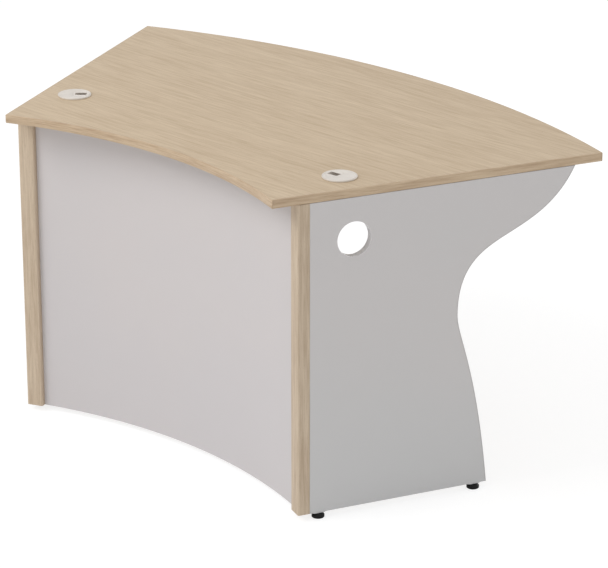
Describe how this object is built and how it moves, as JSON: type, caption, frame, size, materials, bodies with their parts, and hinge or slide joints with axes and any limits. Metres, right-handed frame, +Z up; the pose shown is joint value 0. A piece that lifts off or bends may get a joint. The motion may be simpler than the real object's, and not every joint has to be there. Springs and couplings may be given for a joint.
{
  "type": "curved reception counter",
  "caption": "Curved reception counter with a ring-segment worktop, round cable grommets, S-edged side panels, a concave fascia between posts, and levelling feet.",
  "frame": {"origin": "on the floor, under the middle of the worktop's bounding box", "axes": "+Z up; +X along the chord, to the right as a visitor sees the counter; -Y towards the concave visitor side, +Y towards the convex user side"},
  "size_m": [1.464, 0.8794, 0.7636],
  "materials": {
    "oak_decor": "satin oak decor melamine on board",
    "oak_edge": "satin oak decor edge band",
    "oak_post": "satin oak decor foil",
    "panel_grey": "matt warm grey melamine on board",
    "panel_edge_grey": "matt warm grey edge band",
    "fascia_grey": "matt light warm grey laminate on bent board",
    "grommet_white": "satin off-white moulding",
    "collar_grey": "satin light grey moulding",
    "foot_black": "matt black moulding",
    "zinc_steel": "bright zinc plating",
    "cam_zinc": "plain zinc die casting",
    "beech": "bare grooved beech"
  },
  "bodies": {
    "counter": {"worktop_board": "oak_decor", "worktop_edge_front": "oak_edge", "worktop_edge_rear": "oak_edge", "worktop_edge_left": "oak_edge", "worktop_edge_right": "oak_edge", "side_panel_left": "panel_grey", "side_panel_right": "panel_grey", "side_edge_left": "panel_edge_grey", "side_edge_right": "panel_edge_grey", "post_left": "oak_post", "post_right": "oak_post", "fascia_panel": "fascia_grey", "grommet_liner_left": "grommet_white", "grommet_liner_right": "grommet_white", "foot_socket_front_left": "collar_grey", "foot_socket_rear_left": "collar_grey", "foot_socket_front_right": "collar_grey", "foot_socket_rear_right": "collar_grey", "worktop_dowel_front_left": "beech", "worktop_dowel_rear_left": "beech", "worktop_dowel_front_right": "beech", "worktop_dowel_rear_right": "beech", "post_dowel_lower_left": "beech", "post_dowel_upper_left": "beech", "post_dowel_lower_right": "beech", "post_dowel_upper_right": "beech", "fascia_dowel_lower_left": "beech", "fascia_dowel_upper_left": "beech", "fascia_dowel_lower_right": "beech", "fascia_dowel_upper_right": "beech", "worktop_cam_front_left": "cam_zinc", "worktop_cam_rear_left": "cam_zinc", "worktop_cam_front_right": "cam_zinc", "worktop_cam_rear_right": "cam_zinc", "fascia_cam_left": "cam_zinc", "fascia_cam_right": "cam_zinc", "worktop_cam_bolt_front_left": "zinc_steel", "worktop_cam_bolt_rear_left": "zinc_steel", "worktop_cam_bolt_front_right": "zinc_steel", "worktop_cam_bolt_rear_right": "zinc_steel", "fascia_cam_bolt_left": "zinc_steel", "fascia_cam_bolt_right": "zinc_steel", "fascia_bracket_left": "zinc_steel", "fascia_bracket_right": "zinc_steel", "worktop_screw_left": "zinc_steel", "worktop_screw_right": "zinc_steel", "fascia_screw_left": "zinc_steel", "fascia_screw_right": "zinc_steel"},
    "lid_left": {"grommet_lid_left": "grommet_white"},
    "lid_right": {"grommet_lid_right": "grommet_white"},
    "disc_left": {"grommet_disc_left": "grommet_white"},
    "disc_right": {"grommet_disc_right": "grommet_white"},
    "stud_front_left": {"foot_stud_front_left": "zinc_steel"},
    "stud_rear_left": {"foot_stud_rear_left": "zinc_steel"},
    "stud_front_right": {"foot_stud_front_right": "zinc_steel"},
    "stud_rear_right": {"foot_stud_rear_right": "zinc_steel"},
    "pad_front_left": {"foot_pad_front_left": "foot_black"},
    "pad_rear_left": {"foot_pad_rear_left": "foot_black"},
    "pad_front_right": {"foot_pad_front_right": "foot_black"},
    "pad_rear_right": {"foot_pad_rear_right": "foot_black"}
  },
  "joints": [
    {"name": "lid_turn_left", "type": "hinge", "parent": "counter", "child": "lid_left", "pos_m": [-0.42589, -0.22888, 0.76], "axis": [0, 0, 1], "continuous": true},
    {"name": "lid_turn_right", "type": "hinge", "parent": "counter", "child": "lid_right", "pos_m": [0.42589, -0.22888, 0.76], "axis": [0, 0, 1], "continuous": true},
    {"name": "disc_turn_left", "type": "hinge", "parent": "lid_left", "child": "disc_left", "pos_m": [-0.41467, -0.21877, 0.76], "axis": [0, 0, 1], "continuous": true},
    {"name": "disc_turn_right", "type": "hinge", "parent": "lid_right", "child": "disc_right", "pos_m": [0.41083, -0.22993, 0.76], "axis": [0, 0, 1], "continuous": true},
    {"name": "foot_slide_front_left", "type": "slide", "parent": "counter", "child": "stud_front_left", "axis": [0, 0, -1], "range_m": [0, 0.012]},
    {"name": "foot_slide_rear_left", "type": "slide", "parent": "counter", "child": "stud_rear_left", "axis": [0, 0, -1], "range_m": [0, 0.012]},
    {"name": "foot_slide_front_right", "type": "slide", "parent": "counter", "child": "stud_front_right", "axis": [0, 0, -1], "range_m": [0, 0.012]},
    {"name": "foot_slide_rear_right", "type": "slide", "parent": "counter", "child": "stud_rear_right", "axis": [0, 0, -1], "range_m": [0, 0.012]},
    {"name": "foot_turn_front_left", "type": "hinge", "parent": "stud_front_left", "child": "pad_front_left", "pos_m": [-0.46315, -0.33361, 0], "axis": [0, 0, -1], "range_deg": [0, 3450]},
    {"name": "foot_turn_rear_left", "type": "hinge", "parent": "stud_rear_left", "child": "pad_rear_left", "pos_m": [-0.60972, 0.02024, 0], "axis": [0, 0, -1], "range_deg": [0, 3450]},
    {"name": "foot_turn_front_right", "type": "hinge", "parent": "stud_front_right", "child": "pad_front_right", "pos_m": [0.46315, -0.33361, 0], "axis": [0, 0, -1], "range_deg": [0, 3450]},
    {"name": "foot_turn_rear_right", "type": "hinge", "parent": "stud_rear_right", "child": "pad_rear_right", "pos_m": [0.60972, 0.02024, 0], "axis": [0, 0, -1], "range_deg": [0, 3450]}
  ],
  "couplings": [
    {"joint": "foot_slide_front_left", "follows": "foot_turn_front_left", "m_per_rad": 0.00019894},
    {"joint": "foot_slide_rear_left", "follows": "foot_turn_rear_left", "m_per_rad": 0.00019894},
    {"joint": "foot_slide_front_right", "follows": "foot_turn_front_right", "m_per_rad": 0.00019894},
    {"joint": "foot_slide_rear_right", "follows": "foot_turn_rear_right", "m_per_rad": 0.00019894}
  ]
}
